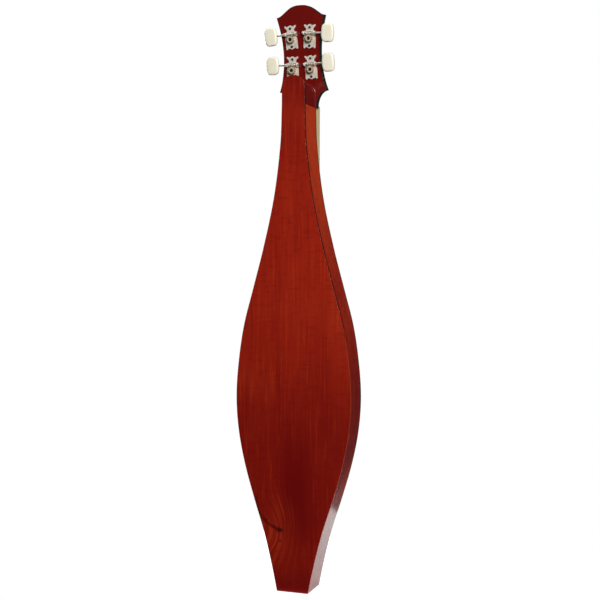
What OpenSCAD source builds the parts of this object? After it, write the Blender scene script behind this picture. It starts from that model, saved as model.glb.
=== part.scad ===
// Mountain dulcimer with a slim teardrop body, a tilted headstock and four open-gear tuners.
// It stands on its tail: +Z runs up to the headstock, -Y is the string side, +Y is the back.

/* [Body] */
// Height of the nut line above the tail, where sides, soundboard and fretboard end
neck_z = 736; // [700:1:760]
// Height of the widest place above the tail
belly_z = 290; // [270:1:310]
// Width across the widest place
belly_w = 183; // [165:1:200]
// Width across the tail
tail_w = 49.6; // [46:0.2:56]
// Width across the neck and the heel
neck_w = 36; // [35:0.5:38]
// Depth of the sound box, back plate and soundboard included
body_d = 54; // [52:1:58]
// Thickness of the back plate and of the soundboard
plate_t = 3; // [2.5:0.5:3.5]
// Thickness of the bent sides
side_t = 2.5; // [2:0.5:3]
// Height of the heel's rounded end above the nut line
heel_l = 43.4; // [42:0.2:44]

/* [Headstock] */
// Backward tilt in degrees
head_tilt = 7.3; // [6:0.1:8.5]
// Thickness, overlay included
head_t = 11; // [10.5:0.5:12]
// Width across the pointed upper corners
head_w = 76.4; // [74:0.2:78]
// Height of the crown above the nut line, measured along the tilted face
head_l = 156; // [152:1:160]
// Thickness of the dark front overlay
overlay_t = 1.6; // [1.2:0.2:2]
// Width of the dark binding around the headstock and the soundboard
binding_t = 1; // [0.8:0.1:1.2]

/* [Strings] */
// Height of the fretboard above the soundboard
board_h = 18; // [16:1:19]
// Speaking length of the strings, nut to bridge
scale_l = 698.5; // [690:0.5:700]
// Depth of the hollow where the strings are strummed
strum_dip = 8; // [5:1:10]

/* [Tuners] */
// Distance of each string post from the centre line
post_x = 15.5; // [15:0.1:16]
// Height of the lower posts above the nut line, along the face
post_low = 59.4; // [59:0.1:60]
// Height of the upper posts above the nut line, along the face
post_high = 105.6; // [105:0.1:106]
// Width of a tuner button along its shaft
button_w = 20; // [18:0.5:21]
// Height of a tuner button
button_h = 28; // [25:0.5:29]
// Thickness of a tuner button
button_t = 7.6; // [6.5:0.1:8.5]

/* [Hidden] */
$fn = 48;
half_d = body_d / 2;
inner_d = half_d - plate_t;
neck_hw = neck_w / 2;
board_y = -half_d - board_h;

// Share of the swell at shares of the way from the tail to the belly, then on to the neck
TAIL_SWELL = [[0, 0], [0.14, 0.13], [0.31, 0.32], [0.48, 0.56], [0.66, 0.79], [0.83, 0.94], [1, 1]];
NECK_TAPER = [[0.11, 0.965], [0.25, 0.84], [0.38, 0.63], [0.52, 0.4], [0.69, 0.17], [0.87, 0.03], [1, 0]];
BODY_CURVE = concat(
    [for (p = TAIL_SWELL) [p[0] * belly_z, tail_w / 2 + (belly_w - tail_w) / 2 * p[1]]],
    [for (p = NECK_TAPER) [belly_z + p[0] * (neck_z - belly_z), neck_hw + (belly_w / 2 - neck_hw) * p[1]]]);
body_steps = 92;
body_step = neck_z / body_steps;
heel_arch = 16;
heel_lean = 0.8;
heel_straight = heel_l - heel_arch;

// Headstock: heights along the face above the nut line, half widths at those heights
head_y = -half_d - 5.5; // front of the overlay at the nut line
head_back = head_t;
flare_h = 27;
wing_hw = head_w / 2;
flare_hw = neck_hw + 2.5;
corner_s = head_l - 16.5;
HEAD_SIDE = [[flare_h, wing_hw], [38, 34.6], [52, 31.6], [68, 29.6], [84, 29.2], [102, 30.4], [120, 33.4],
    [corner_s, wing_hw]];
side_steps = 24;
crown_steps = 16;
arc_steps = 12;

// Inside the body
block_low = 46;
tail_block_h = 34;
lining = 6;
brace_t = 8;
brace_h = 10;
BACK_BRACES = [150, 290, 430, 570];
TOP_BRACES = [190, 390, 560];
hole_r = 0.8;

// Fretboard: each fret's distance above the open string in semitones
FRETS = [2, 4, 5, 7, 9, 10, 11, 12, 14, 16, 17, 19, 21, 22, 23, 24, 26, 28, 29];
MARKED_SPACES = [[4, 5], [7, 9], [11, 12], [16, 17], [19, 21], [23, 24]];
strum_z = 120;
strum_l = 90;
fret_r = 1.1;
tang_t = 0.6;
tang_d = 2;
marker_r = 2.5;
marker_t = 1;
nut_t = 5;
nut_h = 1.6;
bridge_h = 6;
bridge_z = neck_z - scale_l;
pin_z = 14;
pin_r = 1.2;

// Tuners: side, height along the headstock, how far each plate is turned on the wood, how much nearer
// the centre line its post stands, and how much further its button is pressed on
TUNERS = [[1, post_high, 4, 0, 0], [-1, post_high, 3.2, 1.5, 1.2],
    [1, post_low, -1.2, 0.2, 0], [-1, post_low, -1.8, 1, 1.6]];
// Each string: distance from the centre line, its tuner, its radius
STRINGS = [[12, 2, 0.3], [0, 0, 0.25], [-8.5, 1, 0.2], [-12, 3, 0.2]];
plate_w = 19;
metal_t = 1;
gear_teeth = 12;
gear_pitch_r = 5.57;
gear_tip_r = 6.22;
gear_root_r = 4.67;
gear_low = 2.9;
gear_top = 6.1;
hub_top = 7.6;
hub_r = 5;
hub_recess_r = 2.8;
gear_foot_r = 4.2;
worm_z = 7.97;
worm_w = (gear_low + gear_top) / 2;
worm_root_r = 1.6;
worm_tip_r = 3.1;
worm_l = 9;
worm_pitch = 2 * PI * gear_pitch_r / gear_teeth;
shaft_r = 1.5;
EARS = [-8.5, 7.5];
ear_t = 1.4;
ear_hole_r = 1.55;
button_in = 21;
shaft_in = 12;
post_r = 3;
post_hole_r = 3.05;
waist_r = 2.4;
post_tip = 15;
wind_w = 7.5;
spigot_r = 2;
bushing_r = 5;
bushing_l = 8;
flange_r = 6.5;
flange_t = 1.2;
screw_r = 1.1;
screw_head_r = 1.9;
gear_screw_r = 0.9;
SCREW_V = [16.6, -10.6];

// ---- Curves ----

// Smooth value at t of the curve through points [t, value]
function curve_slope(p, i) =
    let (a = max(i - 1, 0), b = min(i + 1, len(p) - 1)) (p[b][1] - p[a][1]) / (p[b][0] - p[a][0]);
function curve_piece(p, t) = max([for (i = [0:len(p) - 2]) if (i == 0 || p[i][0] <= t) i]);
function curve(p, t) =
    let (i = curve_piece(p, t), h = p[i + 1][0] - p[i][0], k = (t - p[i][0]) / h)
    (1 + 2 * k) * (1 - k) * (1 - k) * p[i][1] + k * (1 - k) * (1 - k) * h * curve_slope(p, i)
    + k * k * (3 - 2 * k) * p[i + 1][1] - k * k * (1 - k) * h * curve_slope(p, i + 1);

// Both halves of an outline from its right half
function both_sides(right) =
    concat(right, [for (i = [len(right) - 1:-1:0]) if (right[i][0] > 0.001) [-right[i][0], right[i][1]]]);

// Half width of the body: straight between stations a body_step apart, so that all its pieces match
function body_hw(z) =
    let (k = min(floor(z / body_step), body_steps - 1), share = z / body_step - k)
    (1 - share) * curve(BODY_CURVE, k * body_step) + share * curve(BODY_CURVE, (k + 1) * body_step);
function stations(z0, z1) = concat([z0],
    [for (k = [1:body_steps - 1]) let (z = k * body_step) if (z > z0 + 0.01 && z < z1 - 0.01) z], [z1]);
function body_right(z0, z1, inset) = [for (z = stations(z0, z1)) [body_hw(z) - inset, z]];

// A strip of the given width just inside the right side
function inner_band(z0, z1, inset, width) =
    let (p = body_right(z0, z1, inset))
    concat(p, [for (i = [len(p) - 1:-1:0]) [p[i][0] - width, p[i][1]]]);

function heel_right() =
    [for (i = [0:arc_steps]) let (a = 90 * i / arc_steps)
        [neck_hw * cos(a), neck_z + heel_straight + heel_arch * sin(a)]];

// Right half of the headstock outline, heights along the face, drawn in by inset
function crown_s(x) = corner_s + (head_l - corner_s) * (1 + cos(180 * pow(x / wing_hw, 1.4))) / 2;
function head_right(inset) = concat(
    [[flare_hw - inset, -6]],
    [for (i = [0:arc_steps]) let (a = 86 * i / arc_steps)
        [wing_hw - (wing_hw - flare_hw + inset) * cos(a), (flare_h + inset) * sin(a)]],
    [for (i = [0:side_steps]) let (s = flare_h + inset + (corner_s - flare_h - 2 * inset) * i / side_steps)
        [curve(HEAD_SIDE, s) - inset, s]],
    [for (i = [1:crown_steps]) let (x = (wing_hw - inset) * (1 - i / crown_steps))
        [x, crown_s(x) - inset]]);

// A place on the tilted headstock as a place in the whole
function on_head(x, w, s) =
    [x, head_y + w * cos(head_tilt) + s * sin(head_tilt), neck_z - w * sin(head_tilt) + s * cos(head_tilt)];

// ---- Helpers ----

// A flat shape drawn in X and Z, filled from y0 to y1
module slab(y0, y1) {
    translate([0, y1, 0]) rotate([90, 0, 0]) linear_extrude(y1 - y0) children();
}

// A flat shape drawn in Y and Z, filled across x0 to x1
module beam(x0, x1) {
    translate([x0, 0, 0]) rotate([90, 0, 90]) linear_extrude(x1 - x0) children();
}

// A round bar along Y
module bar_y(r, y0, y1) {
    translate([0, y0, 0]) rotate([-90, 0, 0]) cylinder(r = r, h = y1 - y0);
}

// A round bar along X
module bar_x(r, x0, x1) {
    translate([x0, 0, 0]) rotate([0, 90, 0]) cylinder(r = r, h = x1 - x0);
}

// A wire through points that rise one after the other
module wire(r, points) {
    sides = 12;
    last = len(points) - 1;
    ring = [for (a = [0:sides - 1]) r * [cos(360 * a / sides), sin(360 * a / sides), 0]];
    polyhedron(
        [for (p = points) for (q = ring) p + q],
        concat(
            [[for (a = [0:sides - 1]) a]],
            [for (k = [0:last - 1]) for (a = [0:sides - 1])
                let (b = (a + 1) % sides, low = k * sides, high = low + sides)
                [low + a, high + a, high + b, low + b]],
            [[for (a = [sides - 1:-1:0]) last * sides + a]]));
}

module in_head() {
    translate([0, head_y, neck_z]) rotate([-head_tilt, 0, 0]) children();
}

// Everything above the nut line
module above_nut() {
    translate([-100, -100, neck_z]) cube([200, 200, 200]);
}

// How far out a tuner's post stands, and where its button starts along the shaft
function post_out(i) = post_x - TUNERS[i][3];
function button_start(i) = button_in - TUNERS[i][4];

// Tuner frame: X outwards, Y out of the headstock's back, Z towards the crown
module in_tuner(i, mirrored = true) {
    t = TUNERS[i];
    in_head() translate([t[0] * post_out(i), head_back, t[1]]) rotate([0, t[0] * t[2], 0])
        mirror([mirrored && t[0] < 0 ? 1 : 0, 0, 0]) children();
}

// ---- Sound box ----

module heart(w) {
    r = w * 0.27;
    for (side = [-1, 1]) translate([side * (w / 2 - r), 0]) circle(r);
    polygon([[-w * 0.46, -w * 0.13], [w * 0.46, -w * 0.13], [0, -w * 0.72]]);
    polygon([[-w * 0.3, 0], [0, w * 0.12], [w * 0.3, 0], [w * 0.42, -w * 0.16], [-w * 0.42, -w * 0.16]]);
}

module back_plate() color("firebrick") {
    slab(inner_d, half_d) polygon(both_sides(concat(body_right(0, neck_z, 0), heel_right())));
}

module soundboard() color("burlywood") {
    slab(-half_d, -inner_d) difference() {
        polygon(both_sides(body_right(0, neck_z, binding_t)));
        for (side = [-1, 1]) {
            translate([side * 53, 306]) heart(26);
            translate([side * 34, 476]) heart(20);
        }
    }
}

// Dark strips let into the soundboard's two long edges
module top_binding() color([0.06, 0.05, 0.05]) {
    for (side = [0, 1]) slab(-half_d, -inner_d) mirror([side, 0])
        polygon(inner_band(0, neck_z, 0, binding_t));
}

module side_panel(side) color("brown") {
    slab(-inner_d, inner_d) mirror([side < 0 ? 1 : 0, 0]) polygon(inner_band(0, neck_z, 0, side_t));
}

module tail_panel() color("brown") {
    slab(-inner_d, inner_d) polygon(both_sides(body_right(0, side_t, side_t)));
}

module tail_block() color("peru") {
    slab(-inner_d, inner_d) polygon(both_sides(body_right(side_t, tail_block_h, side_t)));
}

// The heel's end leans in from the back plate towards the headstock
module neck_block() color("maroon") {
    slab(-inner_d, inner_d) polygon(both_sides(body_right(neck_z - block_low, neck_z, side_t)));
    difference() {
        translate([0, inner_d, neck_z]) rotate([90, 0, 0])
            linear_extrude(2 * inner_d, scale = [1, heel_lean])
            polygon(both_sides(concat([[neck_hw, 0]], [for (p = heel_right()) [p[0], p[1] - neck_z]])));
        in_head() translate([-50, -50, -20]) cube([100, 50 + head_back, 100]);
    }
}

// Glue strip along a side, under a plate: side -1 or 1, face 1 for the back, -1 for the front
module lining_strip(side, face) color("tan") {
    low = face > 0 ? inner_d - lining : -inner_d;
    slab(low, low + lining) mirror([side < 0 ? 1 : 0, 0])
        polygon(inner_band(tail_block_h, neck_z - block_low, side_t, lining));
}

module brace_bar(z, face) {
    hw = min(body_hw(z - brace_t / 2), body_hw(z + brace_t / 2)) - side_t - lining;
    y0 = face > 0 ? inner_d - brace_h : -inner_d;
    translate([-hw, y0, z - brace_t / 2]) cube([2 * hw, brace_h, brace_t]);
}

module back_braces() color("tan") {
    for (z = BACK_BRACES) brace_bar(z, 1);
}

module top_braces() color("tan") {
    for (z = TOP_BRACES) brace_bar(z, -1);
}

// ---- Headstock ----

module head_shape(inset) {
    polygon(both_sides(head_right(inset)));
}

// Bore for each post and its bushing, and pilot holes for the plate screws
module head_bores() {
    for (i = [0:3]) in_tuner(i) {
        bar_y(post_hole_r + 0.3, -head_t - 1, 1);
        bar_y(bushing_r, -head_t - 1, bushing_l - head_t);
        for (v = SCREW_V) translate([0, 0, v]) bar_y(screw_r + 0.1, -7.5, 1);
    }
}

module headstock() color("maroon") {
    intersection() {
        difference() {
            in_head() slab(overlay_t, head_back) head_shape(binding_t);
            head_bores();
        }
        above_nut();
    }
}

module headstock_binding() color([0.06, 0.05, 0.05]) {
    intersection() {
        in_head() slab(overlay_t, head_back) difference() {
            head_shape(0);
            head_shape(binding_t);
        }
        above_nut();
    }
}

module headstock_overlay() color([0.08, 0.07, 0.07]) {
    intersection() {
        difference() {
            in_head() slab(0, overlay_t) head_shape(0);
            head_bores();
        }
        above_nut();
    }
}

// ---- Fretboard and strings ----

function fret_z(semitones) = neck_z - scale_l * (1 - pow(2, -semitones / 12));

module fretboard() color("wheat") {
    dip_r = (strum_l * strum_l / 4 + strum_dip * strum_dip) / (2 * strum_dip);
    difference() {
        translate([-neck_hw, board_y, 0]) cube([neck_w, board_h, neck_z]);
        translate([0, board_y + strum_dip - dip_r, strum_z]) bar_x(dip_r, -neck_w, neck_w);
        for (f = FRETS) translate([-neck_w, board_y - 1, fret_z(f) - tang_t / 2])
            cube([2 * neck_w, 1 + tang_d, tang_t]);
        for (m = MARKED_SPACES) translate([0, board_y, (fret_z(m[0]) + fret_z(m[1])) / 2])
            bar_y(marker_r, -1, marker_t);
        for (s = STRINGS) translate([s[0], board_y, pin_z]) bar_y(pin_r, -1, 9);
    }
}

module frets() color("silver") {
    for (f = FRETS) translate([0, board_y, fret_z(f)]) {
        translate([-neck_hw, 0, -tang_t / 2]) cube([neck_w, tang_d, tang_t]);
        difference() {
            bar_x(fret_r, -neck_hw, neck_hw);
            translate([-neck_w, 0, -5]) cube([2 * neck_w, 10, 10]);
        }
    }
}

module position_markers() color("ivory") {
    for (m = MARKED_SPACES)
        translate([0, board_y, (fret_z(m[0]) + fret_z(m[1])) / 2]) bar_y(marker_r, 0, marker_t);
}

module nut() color("ivory") {
    top = board_y - nut_h;
    beam(-neck_hw, neck_hw) polygon([[head_y, neck_z], [top, neck_z], [top, neck_z + 1],
        [top + 1.8, neck_z + nut_t], [head_y, neck_z + nut_t]]);
}

module bridge() color("saddlebrown") {
    beam(-neck_hw + 1, neck_hw - 1) polygon([[board_y, bridge_z - 3], [board_y, bridge_z + 3],
        [board_y - bridge_h, bridge_z + 0.2], [board_y - bridge_h, bridge_z - 0.2]]);
}

module string_pins() color("silver") {
    for (s = STRINGS) translate([s[0], board_y, pin_z]) bar_y(pin_r, -5, 9);
}

// One string: ring on its pin, over the bridge, over the nut, up to just beside its winding
module string(i) color("lightgray") {
    s = STRINGS[i];
    r = s[2];
    t = TUNERS[s[1]];
    ring_y = board_y - 2;
    ring_r = pin_r + 2 * r + 0.1;
    translate([s[0], ring_y, pin_z]) difference() {
        bar_y(ring_r, -r, r);
        bar_y(pin_r + 0.02, -1, 1);
    }
    wire(r, [[s[0], ring_y, pin_z + ring_r + 0.05],
        [s[0], board_y - bridge_h - r, bridge_z],
        [s[0], board_y - nut_h - r, neck_z + 1],
        on_head(t[0] * (post_out(s[1]) - waist_r - 1.4), -wind_w, t[1])]);
}

// ---- Tuners ----

module plate_shape() {
    difference() {
        union() {
            translate([-plate_w / 2, -13.3]) square([plate_w, 13.5]);
            translate([-plate_w / 2 + 5, 0]) square([plate_w - 10, 12]);
            for (side = [-1, 1]) {
                translate([side * (plate_w / 2 - 5), 0.2]) circle(5);
                translate([side * (plate_w / 2 - 1.7), -12.8]) circle(1.7);
            }
            translate([0, -10.7]) circle(3.8);
            polygon([[-8, 4.5], [8.5, 4.5], [8.5, 11], [6, 12], [5.6, 14.6], [9.6, 19.6],
                [8.2, 21.1], [4, 19.6], [-4, 19.6], [-8.2, 21.1], [-9.6, 19.6], [-5.6, 14.6], [-6, 12],
                [-9.6, 11], [-9.6, 4.5]]);
            translate([0, 17.1]) circle(4.2);
        }
        for (side = [-1, 1]) {
            translate([side * 5.6, -14.1]) circle(1.5);
            translate([side * 5.4, 21.5]) circle(1.7);
        }
        translate([-7.4, 8.9]) square([13.4, 1.8]);
        circle(post_r + 0.1);
        for (v = SCREW_V) translate([0, v]) circle(screw_r + 0.1);
    }
}

// Plate with two upright ears that carry the worm shaft
module tuner_plate(i) color("lightgray") {
    in_tuner(i) {
        slab(0, metal_t) plate_shape();
        for (u = EARS) translate([u - ear_t / 2, 0, worm_z]) difference() {
            union() {
                translate([0, 0, -2.8]) cube([ear_t, worm_w, 5.6]);
                translate([0, worm_w, 0]) bar_x(2.8, 0, ear_t);
            }
            translate([0, worm_w, 0]) bar_x(ear_hole_r, -1, ear_t + 1);
        }
    }
}

module plate_screws() color("dimgray") {
    for (i = [0:3]) in_tuner(i) for (v = SCREW_V) translate([0, 0, v]) {
        bar_y(screw_r, -7, metal_t);
        difference() {
            bar_y(screw_head_r, metal_t, metal_t + 0.9);
            translate([-3, metal_t + 0.5, -0.25]) cube([6, 1, 0.5]);
        }
    }
}

module post_bushing(i) color("silver") {
    in_tuner(i) difference() {
        union() {
            bar_y(bushing_r, -head_t, bushing_l - head_t);
            bar_y(flange_r, -head_t - flange_t, -head_t);
        }
        bar_y(post_hole_r, -head_t - 5, 1);
    }
}

// Cross-section of the worm: one narrow lobe that the twist turns into a thread
module worm_section() {
    polygon([for (a = [0:30:330])
        let (low = worm_root_r - 0.2, r = low + (worm_tip_r - low) * max(0, cos(a)))
        [r * cos(a), r * sin(a)]]);
}

module worm_shaft(i) color("silver") {
    turns = worm_l / worm_pitch;
    tip = TUNERS[i][0] * (button_start(i) + shaft_in);
    tail = TUNERS[i][0] * (EARS[0] - 2.3);
    in_tuner(i, false) translate([0, worm_w, worm_z]) {
        bar_x(shaft_r, min(tip, tail), max(tip, tail));
        bar_x(worm_root_r, -worm_l / 2 - 1, worm_l / 2 + 1);
        translate([-worm_l / 2, 0, 0]) rotate([0, 90, 0]) rotate(-180 * turns)
            linear_extrude(worm_l, twist = -360 * turns, slices = round(12 * turns), $fn = 12)
                worm_section();
    }
    in_tuner(i) translate([0, worm_w, worm_z]) {
        bar_x(2.3, EARS[1] + ear_t / 2 + 0.2, EARS[1] + ear_t / 2 + 2);
        bar_x(2.1, EARS[0] - ear_t / 2 - 1.6, EARS[0] - ear_t / 2 - 0.2);
    }
}

module tuner_button(i) color("ivory") {
    in_tuner(i) translate([button_start(i), worm_w, worm_z]) difference() {
        slab(-button_t / 2, button_t / 2) intersection() {
            translate([0, -button_h / 2]) square([button_w, button_h]);
            translate([button_w / 2, 0]) circle(button_h * 0.55);
        }
        bar_x(shaft_r + 0.02, -1, shaft_in + 0.1);
    }
}

module gear_shape() {
    circle(gear_root_r);
    for (k = [0:gear_teeth - 1]) rotate(90 + (k + 0.5) * 360 / gear_teeth)
        polygon([[gear_root_r - 0.5, -0.85], [gear_tip_r, -0.3], [gear_tip_r, 0.3],
            [gear_root_r - 0.5, 0.85]]);
}

module tuner_gear(i) color("darkgoldenrod") {
    in_tuner(i) difference() {
        union() {
            slab(gear_low, gear_top) gear_shape();
            bar_y(gear_foot_r, metal_t + 0.1, gear_low);
            bar_y(hub_r, gear_top, hub_top);
        }
        bar_y(spigot_r + 0.02, 0, hub_top + 1);
        bar_y(hub_recess_r, gear_top + 0.3, hub_top + 1);
        bar_y(post_r + 0.02, 0, gear_low - 0.5);
    }
}

module string_post(i) color("silver") {
    waist_low = -head_t - post_tip + 3.5;
    waist_high = -head_t - 3.5;
    in_tuner(i) difference() {
        union() {
            bar_y(post_r, waist_high, gear_low - 0.5);
            bar_y(waist_r, waist_low, waist_high);
            bar_y(post_r, -head_t - post_tip, waist_low);
            bar_y(spigot_r, gear_low - 0.5, gear_top);
        }
        translate([0, -head_t - wind_w - 2.2, 0]) bar_x(hole_r, -5, 5);
        bar_y(gear_screw_r + 0.05, gear_top - 5, gear_top + 1);
    }
}

module gear_screw(i) color([0.15, 0.12, 0.1]) {
    in_tuner(i) difference() {
        union() {
            bar_y(gear_screw_r, gear_top - 4.5, gear_top + 0.4);
            bar_y(hub_recess_r - 0.2, gear_top + 0.35, gear_top + 1.1);
        }
        translate([-4, gear_top + 0.75, -0.3]) cube([8, 1, 0.6]);
    }
}

module string_winding(i) color("lightgray") {
    in_tuner(i) translate([0, -head_t - wind_w, 0]) rotate([90, 0, 0]) rotate_extrude()
        for (k = [-2:2]) translate([waist_r + 0.28, k * 0.5]) circle(0.27);
}

back_plate();
soundboard();
top_binding();
side_panel(1);  // side_left
side_panel(-1);  // side_right
tail_panel();
tail_block();
neck_block();
lining_strip(1, 1);  // back_lining_left
lining_strip(-1, 1);  // back_lining_right
lining_strip(1, -1);  // top_lining_left
lining_strip(-1, -1);  // top_lining_right
back_braces();
top_braces();
headstock();
headstock_binding();
headstock_overlay();
fretboard();
frets();
position_markers();
nut();
bridge();
string_pins();
string(0);  // string_1
string(1);  // string_2
string(2);  // string_3
string(3);  // string_4
tuner_plate(0);  // tuner_plate_1
tuner_plate(1);  // tuner_plate_2
tuner_plate(2);  // tuner_plate_3
tuner_plate(3);  // tuner_plate_4
plate_screws();
post_bushing(0);  // post_bushing_1
post_bushing(1);  // post_bushing_2
post_bushing(2);  // post_bushing_3
post_bushing(3);  // post_bushing_4
worm_shaft(0);  // worm_shaft_1
worm_shaft(1);  // worm_shaft_2
worm_shaft(2);  // worm_shaft_3
worm_shaft(3);  // worm_shaft_4
tuner_button(0);  // tuner_button_1
tuner_button(1);  // tuner_button_2
tuner_button(2);  // tuner_button_3
tuner_button(3);  // tuner_button_4
tuner_gear(0);  // tuner_gear_1
tuner_gear(1);  // tuner_gear_2
tuner_gear(2);  // tuner_gear_3
tuner_gear(3);  // tuner_gear_4
string_post(0);  // string_post_1
string_post(1);  // string_post_2
string_post(2);  // string_post_3
string_post(3);  // string_post_4
gear_screw(0);  // gear_screw_1
gear_screw(1);  // gear_screw_2
gear_screw(2);  // gear_screw_3
gear_screw(3);  // gear_screw_4
string_winding(0);  // string_winding_1
string_winding(1);  // string_winding_2
string_winding(2);  // string_winding_3
string_winding(3);  // string_winding_4
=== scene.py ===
"""Looks of a mountain dulcimer that stands on its tail, seen from behind. +Z is up, +Y is the back."""

import math

import bmesh
import bpy
from mathutils import Matrix, Vector


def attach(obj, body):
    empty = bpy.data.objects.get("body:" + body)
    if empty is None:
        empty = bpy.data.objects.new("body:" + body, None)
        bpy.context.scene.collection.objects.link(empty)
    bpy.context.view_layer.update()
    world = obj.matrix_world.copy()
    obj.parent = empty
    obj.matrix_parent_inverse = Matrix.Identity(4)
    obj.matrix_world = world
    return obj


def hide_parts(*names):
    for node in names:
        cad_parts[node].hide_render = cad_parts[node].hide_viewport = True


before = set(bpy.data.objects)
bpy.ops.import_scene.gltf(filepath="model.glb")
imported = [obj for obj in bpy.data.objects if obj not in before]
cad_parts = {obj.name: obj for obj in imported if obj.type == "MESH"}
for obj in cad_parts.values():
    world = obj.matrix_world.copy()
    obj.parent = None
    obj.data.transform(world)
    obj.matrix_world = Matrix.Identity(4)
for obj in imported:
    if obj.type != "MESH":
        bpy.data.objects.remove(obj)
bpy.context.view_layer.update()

MM = 0.001

# ---- Camera: its place, the way it looks, and its lens on a 36 mm sensor ----

CAMERA_AT = Vector((-0.5723, 1.5893, 0.4900))
CAMERA_YAW = math.radians(19.74)
CAMERA_PITCH = math.radians(1.62)
CAMERA_ROLL = math.radians(0.11)
CAMERA_LENS = 66.46
SENSOR = 36.0


def make_camera():
    data = bpy.data.cameras.new("camera")
    data.lens = CAMERA_LENS
    data.sensor_width = SENSOR
    camera = bpy.data.objects.new("camera", data)
    bpy.context.collection.objects.link(camera)
    ahead = Vector((
        math.sin(CAMERA_YAW) * math.cos(CAMERA_PITCH),
        -math.cos(CAMERA_YAW) * math.cos(CAMERA_PITCH),
        -math.sin(CAMERA_PITCH),
    ))
    right = ahead.cross(Vector((0, 0, 1))).normalized()
    up = right.cross(ahead)
    turn = Matrix((right, up, -ahead)).transposed() @ Matrix.Rotation(CAMERA_ROLL, 3, "Z")
    camera.matrix_world = Matrix.Translation(CAMERA_AT) @ turn.to_4x4()
    bpy.context.scene.camera = camera


# ---- Studio ----

FLOOR_SIDE = 1.0
FLOOR_BEHIND = -0.33
FLOOR_FRONT = 0.031
ROOM_LIGHT = 0.026


def area_light(name, at, aim, size, power, colour=(1, 1, 1)):
    data = bpy.data.lights.new(name, "AREA")
    data.shape = "RECTANGLE"
    data.size, data.size_y = size
    data.energy = power
    data.color = colour
    light = bpy.data.objects.new(name, data)
    bpy.context.collection.objects.link(light)
    light.location = at
    light.rotation_euler = (Vector(aim) - Vector(at)).to_track_quat("-Z", "Y").to_euler()


def make_world():
    """White to the camera, and a dim even room to everything that is lit or mirrored."""
    world = bpy.data.worlds.new("studio")
    bpy.context.scene.world = world
    world.use_nodes = True
    nodes = world.node_tree.nodes
    links = world.node_tree.links
    nodes.clear()
    out = nodes.new("ShaderNodeOutputWorld")
    mix = nodes.new("ShaderNodeMixShader")
    seen = nodes.new("ShaderNodeBackground")
    seen.inputs["Color"].default_value = (1, 1, 1, 1)
    seen.inputs["Strength"].default_value = 1.0
    room = nodes.new("ShaderNodeBackground")
    room.inputs["Color"].default_value = (1, 1, 1, 1)
    room.inputs["Strength"].default_value = ROOM_LIGHT
    path = nodes.new("ShaderNodeLightPath")
    links.new(path.outputs["Is Camera Ray"], mix.inputs["Fac"])
    links.new(room.outputs[0], mix.inputs[1])
    links.new(seen.outputs[0], mix.inputs[2])
    links.new(mix.outputs[0], out.inputs["Surface"])


def make_studio():
    bpy.context.scene.view_settings.view_transform = "Standard"
    area_light("key", (-1.7, 2.2, 1.45), (0, 0, 0.55), (1.3, 1.3), 89)
    area_light("front", (1.7, -1.9, 1.4), (0, 0, 0.45), (1.4, 1.4), 60)
    area_light("top", (0.5, 0.1, 2.6), (0, 0, 0), (1.6, 1.6), 22)


# ---- Materials ----

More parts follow.
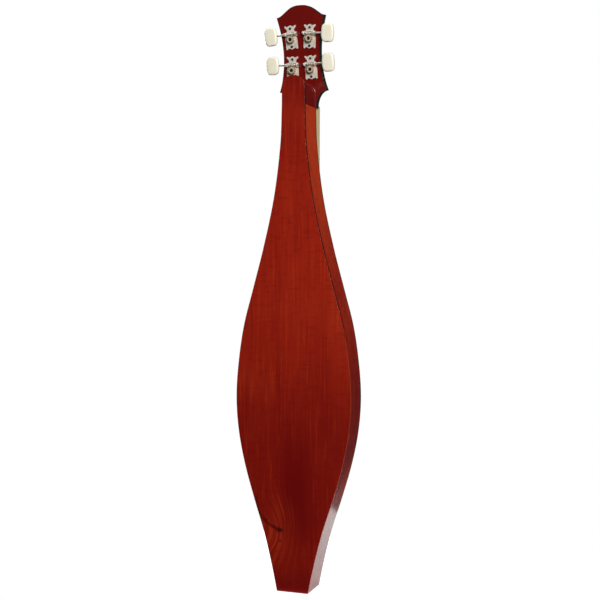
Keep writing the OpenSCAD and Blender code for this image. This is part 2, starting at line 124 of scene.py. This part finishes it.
class Paint:
    """A node material around one Principled shader, with short calls to build its nodes."""

    def __init__(self, name, roughness=0.4, metallic=0.0, coat=0.0, coat_roughness=0.05, specular=0.5):
        self.material = bpy.data.materials.new(name)
        self.material.use_nodes = True
        self.nodes = self.material.node_tree.nodes
        self.links = self.material.node_tree.links
        self.shader = self.nodes["Principled BSDF"]
        self.set("Roughness", roughness)
        self.set("Metallic", metallic)
        self.set("Coat Weight", coat)
        self.set("Coat Roughness", coat_roughness)
        self.set("Specular IOR Level", specular)
        self.place = self.nodes.new("ShaderNodeTexCoord").outputs["Object"]

    def put(self, socket, value):
        if isinstance(value, bpy.types.NodeSocket):
            self.links.new(value, socket)
        elif isinstance(value, tuple) and socket.type == "RGBA":
            socket.default_value = (*value, 1)
        else:
            socket.default_value = value

    def set(self, name, value):
        self.put(self.shader.inputs[name], value)

    def stretched(self, scale, source=None):
        node = self.nodes.new("ShaderNodeVectorMath")
        node.operation = "MULTIPLY"
        self.put(node.inputs[0], source or self.place)
        node.inputs[1].default_value = scale
        return node.outputs[0]

    def noise(self, vector, detail=3.0, roughness=0.55, distortion=0.0):
        node = self.nodes.new("ShaderNodeTexNoise")
        self.put(node.inputs["Vector"], vector)
        self.put(node.inputs["Scale"], 1.0)
        self.put(node.inputs["Detail"], detail)
        self.put(node.inputs["Roughness"], roughness)
        self.put(node.inputs["Distortion"], distortion)
        return node.outputs["Fac"]

    def math(self, kind, a, b=0.0, c=0.0):
        node = self.nodes.new("ShaderNodeMath")
        node.operation = kind
        for socket, value in zip(node.inputs, (a, b, c)):
            self.put(socket, value)
        return node.outputs[0]

    def span(self, value, low, high, to_low=0.0, to_high=1.0):
        node = self.nodes.new("ShaderNodeMapRange")
        node.interpolation_type = "SMOOTHSTEP"
        for name, v in (("Value", value), ("From Min", low), ("From Max", high),
                        ("To Min", to_low), ("To Max", to_high)):
            self.put(node.inputs[name], v)
        return node.outputs[0]

    def mix(self, share, a, b):
        node = self.nodes.new("ShaderNodeMix")
        node.data_type = "RGBA"
        self.put(node.inputs["Factor"], share)
        self.put(node.inputs[6], a)
        self.put(node.inputs[7], b)
        return node.outputs[2]

    def axes(self):
        node = self.nodes.new("ShaderNodeSeparateXYZ")
        self.put(node.inputs[0], self.place)
        return node.outputs

    def vector(self, x, y, z):
        node = self.nodes.new("ShaderNodeCombineXYZ")
        for socket, value in zip(node.inputs, (x, y, z)):
            self.put(socket, value)
        return node.outputs[0]

    def distance(self, point, squeeze=(1, 1, 1)):
        away = self.nodes.new("ShaderNodeVectorMath")
        away.operation = "SUBTRACT"
        self.put(away.inputs[0], self.place)
        away.inputs[1].default_value = point
        length = self.nodes.new("ShaderNodeVectorMath")
        length.operation = "LENGTH"
        self.put(length.inputs[0], self.stretched(squeeze, away.outputs[0]))
        return length.outputs["Value"]

    def bump(self, height, strength, depth):
        node = self.nodes.new("ShaderNodeBump")
        node.inputs["Strength"].default_value = strength
        node.inputs["Distance"].default_value = depth
        self.put(node.inputs["Height"], height)
        self.set("Normal", node.outputs[0])


# Figure of the back plate, in metres: the knot, its flecks with their sizes, and the arc beside it
BACK_FACE = 0.027
KNOT = (0.021, BACK_FACE, 0.093)
KNOT_SPOTS = (
    ((0.030, BACK_FACE, 0.098), 0.0045),
    ((0.020, BACK_FACE, 0.077), 0.0045),
    ((0.042, BACK_FACE, 0.108), 0.004),
)
SWIRL = (0.014, BACK_FACE, 0.139)
SWIRL_RADIUS = 0.0445
KNOT_EYE = (0.04, 0.001, 0.001)
KNOT_ARC = (0.05, 0.001, 0.001)
KNOT_FLECK = (0.06, 0.0015, 0.001)

# Thin edge of the back plate: a painted highlight low down, near black above; and the dark line on the
# sides just under it, glue line with painted shade under the plate's edge (a span in y)
PAINTED_EDGE_HIGHLIGHT = (0.42, 0.05, 0.01)
NEAR_BLACK = (0.03, 0.001, 0.001)
SEAM_AND_SHADE = (0.0205, 0.0225)

PORE = (0.06, 0.001, 0.001)


def painted_back_shade(paint, colour, dark):
    """Painted shade where the light falls off: a darker column up the tail half, and the shaded -X side.
    Also a darker tail end.
    """
    x, _, z = paint.axes()
    column = paint.span(paint.math("ABSOLUTE", paint.math("ADD", x, 0.004)), 0.042, 0.006)
    depth = paint.math("MULTIPLY", paint.span(z, 0.33, 0.14), paint.span(z, 0.05, 0.11))
    share = paint.math("MULTIPLY", column, depth)
    colour = paint.mix(paint.math("MULTIPLY", share, 0.92), colour, dark)
    shade = paint.math("MULTIPLY", paint.span(x, 0.025, -0.055), paint.span(z, 0.42, 0.25))
    colour = paint.mix(paint.math("MULTIPLY", shade, 0.15), colour, dark)
    return paint.mix(paint.span(z, 0.05, 0.0, 0, 0.65), colour, dark)


def knot_figure(paint, colour, light, near, streaks):
    """The knot: a pale halo, a dark eye with flecks, and the dark arc that sweeps into it."""
    x, _, z = paint.axes()
    halo = paint.math("MULTIPLY", near, paint.span(streaks, 0.45, 0.65, 0.1, 0.6))
    colour = paint.mix(halo, colour, light)
    eye = paint.span(paint.distance(KNOT, (1, 1, 1.8)), 0.002, 0.009, 0.8, 0)
    colour = paint.mix(eye, colour, KNOT_EYE)
    off_arc = paint.math("SUBTRACT", paint.distance(SWIRL, (1, 0, 1)), SWIRL_RADIUS)
    line = paint.span(paint.math("ABSOLUTE", off_arc), 0.0042, 0.0006, 0, 0.65)
    quarter = paint.math("MULTIPLY", paint.span(x, 0.012, 0.022), paint.span(z, 0.155, 0.135))
    colour = paint.mix(paint.math("MULTIPLY", line, quarter), colour, KNOT_ARC)
    for spot, size in KNOT_SPOTS:
        fleck = paint.span(paint.distance(spot, (1, 1, 1.4)), size * 0.2, size, 0.6, 0)
        colour = paint.mix(fleck, colour, KNOT_FLECK)
    return colour


def stained_wood(name, dark, middle, light, shift, low, high, coat, knot=False):
    """Red-brown stain under lacquer: soft bands, fine streaks and short pores that all run along Z.

    low and high are (z, z, share, lighter): between the two heights the colour goes over to dark,
    or to light, by that share. knot is for the back alone: its knot, painted shade, pale -X strip and rim.
    """
    paint = Paint(name, coat=coat, coat_roughness=0.17 if knot else 0.13, specular=0.15)
    x, y, z = paint.axes()
    slow = paint.noise(paint.stretched((9, 9, 2.2)), detail=2)
    wander = paint.math("MULTIPLY_ADD", slow, 0.02, shift)
    if knot:
        near = paint.span(paint.distance(KNOT, (1, 1, 0.6)), 0.0, 0.045, 1, 0)
        wander = paint.math("MULTIPLY_ADD", near, 0.02, wander)
    grain = paint.vector(paint.math("ADD", x, wander), y, z)
    bands = paint.noise(paint.stretched((48, 48, 2.4), grain), detail=3, roughness=0.5)
    streaks = paint.noise(paint.stretched((330, 330, 11), grain), detail=4, roughness=0.65)
    pores = paint.noise(paint.stretched((1700, 1700, 90), grain), detail=2)
    blotches = paint.noise(paint.stretched((14, 14, 8)), detail=3)
    silk = paint.noise(paint.stretched((60, 60, 230), grain), detail=2)
    darker, lighter = paint.mix(0.2, middle, dark), paint.mix(0.1, middle, light)
    colour = paint.mix(paint.span(bands, 0.25, 0.75), darker, lighter)
    if knot:
        strip_z = paint.math("MULTIPLY", paint.span(z, 0.26, 0.46), paint.span(z, 0.62, 0.5))
        strip = paint.math("MULTIPLY", strip_z, paint.span(x, -0.035, -0.08, 0, 0.4))
        colour = paint.mix(strip, colour, light)
    for z_from, z_to, share, to_light in (low, high):
        colour = paint.mix(paint.span(z, z_from, z_to, 0, share), colour, light if to_light else dark)
    colour = paint.mix(paint.span(streaks, 0.5, 0.72, 0, 0.42), colour, light)
    colour = paint.mix(paint.span(streaks, 0.5, 0.3, 0, 0.42), colour, dark)
    colour = paint.mix(paint.span(silk, 0.5, 0.32, 0, 0.22), colour, dark)
    colour = paint.mix(paint.span(blotches, 0.45, 0.7, 0, 0.2), colour, light)
    if knot:
        # painted shade on the back: a darker column in the tail half and the shaded -X side, and a darker
        # tail end
        colour = painted_back_shade(paint, colour, dark)
        colour = knot_figure(paint, colour, light, near, streaks)
    colour = paint.mix(paint.span(pores, 0.36, 0.28, 0, 0.35), colour, PORE)
    if knot:
        # painted highlight along the back plate's thin edge below z 0.36, near black above 0.42
        rim = paint.mix(paint.span(z, 0.36, 0.42), PAINTED_EDGE_HIGHLIGHT, NEAR_BLACK)
        on_edge = paint.span(y, BACK_FACE - 0.0001, BACK_FACE - 0.0003, 0, 0.9)
        colour = paint.mix(on_edge, colour, rim)
    else:
        # dark line along the top of the sides under the back plate's edge, upper half: glue line with
        # painted shade
        seam_and_shade = paint.math("MULTIPLY", paint.span(y, *SEAM_AND_SHADE), paint.span(z, 0.32, 0.42, 0, 0.85))
        colour = paint.mix(seam_and_shade, colour, NEAR_BLACK)
    paint.set("Base Color", colour)
    paint.set("Roughness", paint.span(streaks, 0.3, 0.7, 0.5, 0.4))
    paint.bump(paint.math("ADD", paint.span(pores, 0.28, 0.36), streaks), 0.07, 0.0001)
    return paint.material


def pale_wood(name, dark, light, line_gap, coat=0.3):
    """Straight-grained pale wood: growth lines across X, faint rays, and fine fibre along Z."""
    paint = Paint(name, coat=coat, coat_roughness=0.2, specular=0.4)
    x, y, z = paint.axes()
    slow = paint.noise(paint.stretched((6, 6, 1.5)), detail=2)
    across = paint.math("MULTIPLY_ADD", slow, 0.012, x)
    uneven = paint.noise(paint.stretched((25, 25, 0.8)), detail=1)
    gap = paint.math("MULTIPLY_ADD", uneven, 0.004, across)
    ring = paint.math("FRACT", paint.math("DIVIDE", gap, line_gap))
    grain = paint.vector(across, y, z)
    fibre = paint.noise(paint.stretched((900, 900, 16), grain), detail=4, roughness=0.65)
    rays = paint.noise(paint.stretched((90, 90, 60)), detail=2)
    line = paint.math("MULTIPLY", paint.span(ring, 0.45, 0.97), paint.span(ring, 1.0, 0.97))
    colour = paint.mix(paint.math("MULTIPLY", line, 0.75), light, dark)
    colour = paint.mix(paint.span(fibre, 0.5, 0.3, 0, 0.4), colour, dark)
    colour = paint.mix(paint.span(rays, 0.6, 0.75, 0, 0.2), colour, light)
    paint.set("Base Color", colour)
    paint.set("Roughness", paint.span(fibre, 0.3, 0.7, 0.5, 0.38))
    paint.bump(fibre, 0.1, 0.0001)
    return paint.material


def gloss_black(name, base=(0.012, 0.010, 0.010)):
    paint = Paint(name, coat=0.6, coat_roughness=0.06)
    haze = paint.noise(paint.stretched((60, 60, 60)), detail=4)
    fine = paint.noise(paint.stretched((1400, 1400, 300)), detail=3)
    paint.set("Base Color", paint.mix(paint.span(haze, 0.4, 0.7, 0, 0.6), base, (0.03, 0.024, 0.022)))
    paint.set("Roughness", paint.span(fine, 0.3, 0.7, 0.2, 0.34))
    paint.bump(fine, 0.05, 0.00005)
    return paint.material


# Scale of scratches that run no particular way, and the radii where a gear's pale hub ends
EVEN = (900, 900, 900)
HUB_EDGE = (0.0044, 0.0052)


def worn_metal(name, bright, dull, roughness, brushed=(700, 700, 90), metallic=1.0):
    """Plated or plain metal with hairline scratches, dull patches and grime."""
    paint = Paint(name, metallic=metallic)
    patches = paint.noise(paint.stretched((260, 260, 260)), detail=4, roughness=0.6)
    scratches = paint.noise(paint.stretched(brushed), detail=3, roughness=0.7)
    colour = paint.mix(paint.span(patches, 0.42, 0.68, 0, 0.5), bright, dull)
    paint.set("Base Color", colour)
    paint.set("Roughness", paint.span(scratches, 0.3, 0.7, roughness, roughness + 0.16))
    paint.bump(scratches, 0.08, 0.00003)
    return paint.material


def gear_metal(name):
    """Pale hubs around the four post axes, and darker brown teeth."""
    paint = Paint(name, metallic=0.45)
    radius = None
    for side, height, turn, nearer, *_ in TUNERS:
        centre = tuner_frame(side, height, turn, nearer) @ Vector((0, GEAR_MIDDLE * MM, 0))
        away = paint.distance(centre, (1, 0, 1))
        radius = away if radius is None else paint.math("MINIMUM", radius, away)
    patches = paint.noise(paint.stretched((420, 420, 420)), detail=4, roughness=0.6)
    scratches = paint.noise(paint.stretched(EVEN), detail=3)
    hub = paint.mix(paint.span(patches, 0.45, 0.7, 0, 0.6), (0.92, 0.78, 0.56), (0.62, 0.42, 0.22))
    teeth = paint.mix(paint.span(patches, 0.35, 0.6), (0.5, 0.31, 0.15), (0.2, 0.11, 0.05))
    paint.set("Base Color", paint.mix(paint.span(radius, *HUB_EDGE), hub, teeth))
    paint.set("Roughness", paint.span(scratches, 0.3, 0.7, 0.28, 0.42))
    paint.bump(scratches, 0.1, 0.00003)
    return paint.material


def moulded_plastic(name, base, shade, roughness=0.28):
    """Moulded plastic with faint flow marks and handling haze."""
    paint = Paint(name, coat=0.35, coat_roughness=0.08)
    swirl = paint.noise(paint.stretched((110, 110, 40)), detail=3, distortion=1.2)
    haze = paint.noise(paint.stretched((500, 500, 500)), detail=3)
    paint.set("Base Color", paint.mix(paint.span(swirl, 0.35, 0.7, 0, 0.6), base, shade))
    paint.set("Roughness", paint.span(haze, 0.35, 0.7, roughness, roughness + 0.1))
    paint.bump(haze, 0.04, 0.00005)
    return paint.material


WRAP_PITCH = 0.0004


def wound_wire(name):
    """Bass string: fine ridges of the wrap wire."""
    paint = Paint(name, metallic=1.0, roughness=0.32)
    z = paint.axes()[2]
    ridges = paint.math("SINE", paint.math("MULTIPLY", z, 2 * math.pi / WRAP_PITCH))
    tone = paint.noise(paint.stretched((300, 300, 30)), detail=2)
    paint.set("Base Color", paint.mix(tone, (0.62, 0.5, 0.36), (0.4, 0.33, 0.26)))
    paint.bump(ridges, 0.5, 0.00008)
    return paint.material


def pearl(name):
    paint = Paint(name, coat=0.6, coat_roughness=0.05, roughness=0.2)
    cells = paint.noise(paint.stretched((420, 420, 420)), detail=2, distortion=2.5)
    paint.set("Base Color", paint.mix(cells, (0.9, 0.86, 0.8), (0.62, 0.72, 0.74)))
    paint.set("Roughness", paint.span(cells, 0.3, 0.7, 0.16, 0.3))
    return paint.material


# Stains as dark, middle and light
BACK_STAIN = ((0.14, 0.0006, 0.0008), (0.325, 0.0125, 0.0028), (0.47, 0.036, 0.008))
SIDE_STAIN = ((0.12, 0.001, 0.001), (0.33, 0.012, 0.002), (0.66, 0.058, 0.01))
NECK_STAIN = ((0.08, 0.001, 0.001), (0.155, 0.003, 0.0015), (0.23, 0.008, 0.003))


def make_materials():
    fade_low, fade_high = (0.46, 0.2, 0.55, False), (0.6, 0.78, 0.65, False)
    side_low, side_high = (0.52, 0.2, 0.92, False), (0.4, 0.72, 0.75, True)
    none = (0, 1, 0, False)
    return {
        "back": stained_wood("stained_back", *BACK_STAIN, 0.0, fade_low, fade_high, 0.4, knot=True),
        "side_left": stained_wood("stained_side_left", *SIDE_STAIN, 0.31, side_low, side_high, 0.55),
        "side_right": stained_wood("stained_side_right", *SIDE_STAIN, 0.57, side_low, side_high, 0.55),
        "neck": stained_wood("stained_neck", *NECK_STAIN, 0.83, none, none, 0.5),
        "spruce": pale_wood("spruce_top", (0.5, 0.26, 0.09), (0.74, 0.5, 0.25), 0.0013, coat=0.4),
        "maple": pale_wood("maple_board", (0.6, 0.38, 0.18), (0.78, 0.58, 0.33), 0.006, coat=0.25),
        "plain": pale_wood("inner_wood", (0.45, 0.29, 0.15), (0.64, 0.47, 0.28), 0.004, coat=0.0),
        "rosewood": pale_wood("dark_hardwood", (0.03, 0.012, 0.007), (0.11, 0.045, 0.022), 0.003),
        "black": gloss_black("black_edge"),
        "overlay": gloss_black("black_overlay", (0.016, 0.013, 0.012)),
        "nickel": worn_metal("nickel_plate", (0.82, 0.79, 0.73), (0.55, 0.48, 0.38), 0.24, metallic=0.8),
        "plate": worn_metal("satin_plate", (0.86, 0.8, 0.7), (0.56, 0.46, 0.34), 0.34, metallic=0.3),
        "steel": worn_metal("bright_steel", (0.62, 0.61, 0.59), (0.4, 0.39, 0.36), 0.26, (500, 500, 500)),
        "fret": worn_metal("fret_wire", (0.76, 0.74, 0.68), (0.5, 0.47, 0.41), 0.2, (90, 900, 900)),
        "gear": gear_metal("gear_brass"),
        "dark_screw": worn_metal("dark_screw", (0.05, 0.042, 0.036), (0.12, 0.09, 0.06), 0.4, EVEN),
        "plate_screw": worn_metal("plate_screw", (0.22, 0.2, 0.17), (0.08, 0.06, 0.04), 0.38, EVEN),
        "button": moulded_plastic("cream_plastic", (1.0, 0.95, 0.76), (0.95, 0.88, 0.66)),
        "bone": moulded_plastic("bone_nut", (0.8, 0.75, 0.62), (0.68, 0.6, 0.46), 0.35),
        "pearl": pearl("pearl_dot"),
        "wound": wound_wire("wound_string"),
    }


def make_floor():
    """Plain pale ground that glows, with a painted shadow: its glow is a little dimmer around the tail."""
    mesh = bpy.data.meshes.new("floor")
    corners = [(-FLOOR_SIDE, FLOOR_BEHIND, 0), (FLOOR_SIDE, FLOOR_BEHIND, 0),
               (FLOOR_SIDE, FLOOR_FRONT, 0), (-FLOOR_SIDE, FLOOR_FRONT, 0)]
    mesh.from_pydata(corners, [], [(0, 1, 2, 3)])
    floor = bpy.data.objects.new("floor", mesh)
    bpy.context.collection.objects.link(floor)
    paint = Paint("pale_floor_painted_shadow", roughness=0.9, specular=0.0)
    paint.set("Base Color", (0.45, 0.45, 0.45))
    paint.set("Emission Color", (1.0, 1.0, 1.0))
    # painted shadow: the glow is dimmer within about 0.35 m of the tail
    paint.set("Emission Strength", paint.span(paint.distance((0, 0, 0)), 0.04, 0.35, 0.9, 1.3))
    mesh.materials.append(paint.material)


# ---- Carried-over CAD nodes: which material each takes, and how far its edges are eased ----

FINISH = {
    "back_plate": ("back", 0.2), "soundboard": ("spruce", 0.5), "top_binding": ("black", 0.4),
    "side_left": ("side_left", 0.2), "side_right": ("side_right", 0.2),
    "tail_panel": ("neck", 0.2), "tail_block": ("plain", 0.3), "neck_block": ("neck", 0),
    "back_lining_left": ("plain", 0.4), "back_lining_right": ("plain", 0.4),
    "top_lining_left": ("plain", 0.4), "top_lining_right": ("plain", 0.4),
    "back_braces": ("plain", 0.8), "top_braces": ("plain", 0.8),
    "headstock": ("neck", 0.2), "headstock_binding": ("black", 0.3), "headstock_overlay": ("overlay", 0.4),
    "fretboard": ("maple", 0.6), "frets": ("fret", 0.2), "position_markers": ("pearl", 0.1),
    "nut": ("bone", 0.4), "bridge": ("rosewood", 0.4), "string_pins": ("steel", 0.3),
    "string_1": ("wound", 0), "string_2": ("steel", 0), "string_3": ("steel", 0), "string_4": ("steel", 0),
    "plate_screws": ("plate_screw", 0.2),
}
for k in "1234":
    FINISH["tuner_plate_" + k] = ("plate", 0.25)
    FINISH["post_bushing_" + k] = ("nickel", 0.3)
    FINISH["worm_shaft_" + k] = ("nickel", 0.1)
    FINISH["tuner_button_" + k] = ("button", 0.8)
    FINISH["tuner_gear_" + k] = ("gear", 0.2)
    FINISH["string_post_" + k] = ("nickel", 0.3)
    FINISH["gear_screw_" + k] = ("dark_screw", 0.2)
    FINISH["string_winding_" + k] = ("steel", 0)

SHARP = math.radians(28)


def ease(obj, width):
    """Joins the mesh's split corners, rounds its sharp edges and smooths the rest."""
    for polygon in obj.data.polygons:
        polygon.use_smooth = True
    weld = obj.modifiers.new("weld", "WELD")
    weld.merge_threshold = 0.002 * MM
    flat = obj.modifiers.new("flat_faces", "DECIMATE")
    flat.decimate_type = "DISSOLVE"
    flat.angle_limit = math.radians(0.2)
    if width:
        bevel = obj.modifiers.new("eased_edges", "BEVEL")
        bevel.width = width * MM
        bevel.segments = 2
        bevel.limit_method = "ANGLE"
        bevel.angle_limit = SHARP
        bevel.harden_normals = True
    normals = obj.modifiers.new("normals", "WEIGHTED_NORMAL")
    normals.keep_sharp = True


def finish_nodes(materials):
    for name, (material, width) in FINISH.items():
        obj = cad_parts[name]
        obj.data.materials.clear()
        obj.data.materials.append(materials[material])
        ease(obj, width)


# ---- Pieces shaped here ----

def new_mesh(name, verts, faces, material, body):
    mesh = bpy.data.meshes.new(name)
    mesh.from_pydata(verts, [], faces)
    for polygon in mesh.polygons:
        polygon.use_smooth = True
    mesh.materials.append(material)
    obj = bpy.data.objects.new(name, mesh)
    bpy.context.collection.objects.link(obj)
    tidy = bmesh.new()
    tidy.from_mesh(mesh)
    bmesh.ops.remove_doubles(tidy, verts=tidy.verts, dist=0.01 * MM)
    bmesh.ops.recalc_face_normals(tidy, faces=tidy.faces)
    tidy.to_mesh(mesh)
    tidy.free()
    mesh.set_sharp_from_angle(angle=SHARP)
    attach(obj, body)
    return obj


def rings_to_faces(rings):
    """Vertices and faces of a skin over equal closed rings, one after the other, with both ends shut."""
    count = len(rings[0])
    verts = [p for ring in rings for p in ring]
    faces = []
    for i in range(len(rings) - 1):
        for k in range(count):
            n = (k + 1) % count
            faces.append((i * count + k, i * count + n, (i + 1) * count + n, (i + 1) * count + k))
    faces.append(tuple(range(count)))
    faces.append(tuple((len(rings) - 1) * count + k for k in range(count)))
    return verts, faces


# Tuners: side, height on the headstock, turn, how much nearer the middle, how much further on its button
# is pressed, and which tuner it is
TUNERS = ((1, 105.6, 4.0, 0, 0, "left_high"), (-1, 105.6, 3.2, 1.5, 1.2, "right_high"),
          (1, 59.4, -1.2, 0.2, 0, "left_low"), (-1, 59.4, -1.8, 1, 1.6, "right_low"))
HEAD_TILT = math.radians(7.3)
HEAD_FRONT = -32.5
NUT_LINE = 736.0
HEAD = Matrix.Translation((0, HEAD_FRONT * MM, NUT_LINE * MM)) @ Matrix.Rotation(-HEAD_TILT, 4, "X")
HEAD_BACK = 11.0
POST_X = 15.5
GEAR_MIDDLE = 5.0


def tuner_frame(side, height, turn, nearer):
    place = HEAD @ Matrix.Translation((side * (POST_X - nearer) * MM, HEAD_BACK * MM, height * MM))
    return place @ Matrix.Rotation(math.radians(side * turn), 4, "Y") @ Matrix.Diagonal((side, 1, 1, 1))


BUTTON = {"inner": 21.0, "wide": 20.0, "tall": 28.0, "thick": 7.6, "axis_w": 4.5, "axis_v": 7.97,
          "round": 3.4, "bow_in": 0.9, "bow_out": 0.45}
BUTTON_STEPS, BUTTON_AROUND = 14, 72
# Powers that make the outline squarer than an ellipse, and its rounded edge fuller than a quarter circle
SQUARE_U, SQUARE_V, FULL_EDGE = 0.5, 0.52, 0.7


def make_button(k, tuner, material):
    """A plump moulded button: a rounded rectangle with full round edges, whose two ends bow outward."""
    *place, pressed, body = tuner
    frame_k = tuner_frame(*place)
    b = BUTTON
    half_w, half_h, half_t = b["wide"] / 2, b["tall"] / 2, b["thick"] / 2
    rings = []
    for i in range(BUTTON_STEPS + 1):
        slope = math.pi * (i / BUTTON_STEPS - 0.5)
        rise = math.sin(slope) * half_t
        shrink = (1 - math.cos(slope) ** FULL_EDGE) * b["round"]
        ring = []
        for j in range(BUTTON_AROUND):
            a = 2 * math.pi * j / BUTTON_AROUND
            c, s = math.cos(a), math.sin(a)
            u = math.copysign(abs(c) ** SQUARE_U, c) * (half_w - shrink)
            v = math.copysign(abs(s) ** SQUARE_V, s) * (half_h - shrink)
            u += (b["bow_in"] if c < 0 else -b["bow_out"]) * (abs(v) / half_h) ** 2
            point = Vector((b["inner"] - pressed + half_w + u, b["axis_w"] + rise, b["axis_v"] + v)) * MM
            ring.append(frame_k @ point)
        rings.append(ring)
    verts, faces = rings_to_faces(rings)
    button = new_mesh("button_" + k, verts, faces, material, "button_" + body)
    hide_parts("tuner_button_" + k)


HEEL = {"length": 43.4, "arch": 16.0, "lean": 0.83, "half": 18.0, "back": 24.0}
SIDE_STEPS, ARCH_STEPS, WALL_STEPS, COVE_STEPS = 8, 24, 18, 8
LEAN_POWER = 0.6
# The headstock's back, where the foot lands: its y at height 0, its slope, and the height it is read at
FOOT_Y = HEAD_FRONT + 10.91
FOOT_SLOPE = 0.1281
FOOT_SHARE, FOOT_START = 0.9, 1.4
# The cove's radius grows from the first number by the second, up to the height of the third
COVE_LOW, COVE_GROWTH, COVE_HEIGHT = 1.2, 1.4, 25
# The plain block inside the box end: its x, y and z limits, and its faces by corner
BLOCK_X, BLOCK_Y, BLOCK_Z = (-15.4, 15.4), (-24, 24), (690, 735.9)
BLOCK_FACES = ((0, 1, 3, 2), (4, 6, 7, 5), (0, 4, 5, 1), (2, 3, 7, 6), (0, 2, 6, 4), (1, 5, 7, 3))


def heel_outline():
    """x, z and the way out (its x and z) at each point: up the +X side, over the arch, and down."""
    half, arch = HEEL["half"], HEEL["arch"]
    straight = HEEL["length"] - arch
    up = [(half, straight * j / SIDE_STEPS, 1, 0) for j in range(SIDE_STEPS + 1)]
    over = []
    for j in range(1, ARCH_STEPS):
        c, s = math.cos(math.pi * j / ARCH_STEPS), math.sin(math.pi * j / ARCH_STEPS)
        over.append((half * c, straight + arch * s, c, s))
    down = [(-x, z, -1, 0) for x, z, *_ in reversed(up)]
    return up + over + down


def make_heel(material):
    """Neck heel: its end leans in under the back plate, and its foot sweeps out into the headstock.

    The block that holds the heel inside the box is in the same mesh.
    """
    outline = heel_outline()
    back = HEEL["back"]
    rings = []
    for i in range(WALL_STEPS + COVE_STEPS + 1):
        along = min(1, i / WALL_STEPS)
        bend = math.pi / 2 * max(0, i - WALL_STEPS) / COVE_STEPS
        lean = 1 - (1 - HEEL["lean"]) * along ** LEAN_POWER
        ring = []
        for x, z, out_x, out_z in outline:
            cove = COVE_LOW + COVE_GROWTH * min(1, z / COVE_HEIGHT)
            wall_end = FOOT_Y + FOOT_SLOPE * (z * FOOT_SHARE + FOOT_START) + cove
            y = back + (wall_end - back) * along - cove * math.sin(bend)
            out = cove * (1 - math.cos(bend))
            ring.append(Vector((x + out_x * out, y, NUT_LINE + z * lean + out_z * out)) * MM)
        rings.append(ring)
    verts, faces = rings_to_faces(rings)
    first = len(verts)
    verts += [Vector((x, y, z)) * MM for x in BLOCK_X for y in BLOCK_Y for z in BLOCK_Z]
    for quad in BLOCK_FACES:
        faces.append(tuple(first + i for i in quad))
    heel = new_mesh("heel_and_block", verts, faces, material, "root")
    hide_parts("neck_block")


make_camera()
make_world()
make_floor()
make_studio()
materials = make_materials()
finish_nodes(materials)
for k, tuner in enumerate(TUNERS, 1):
    make_button(str(k), tuner, materials["button"])
make_heel(materials["neck"])
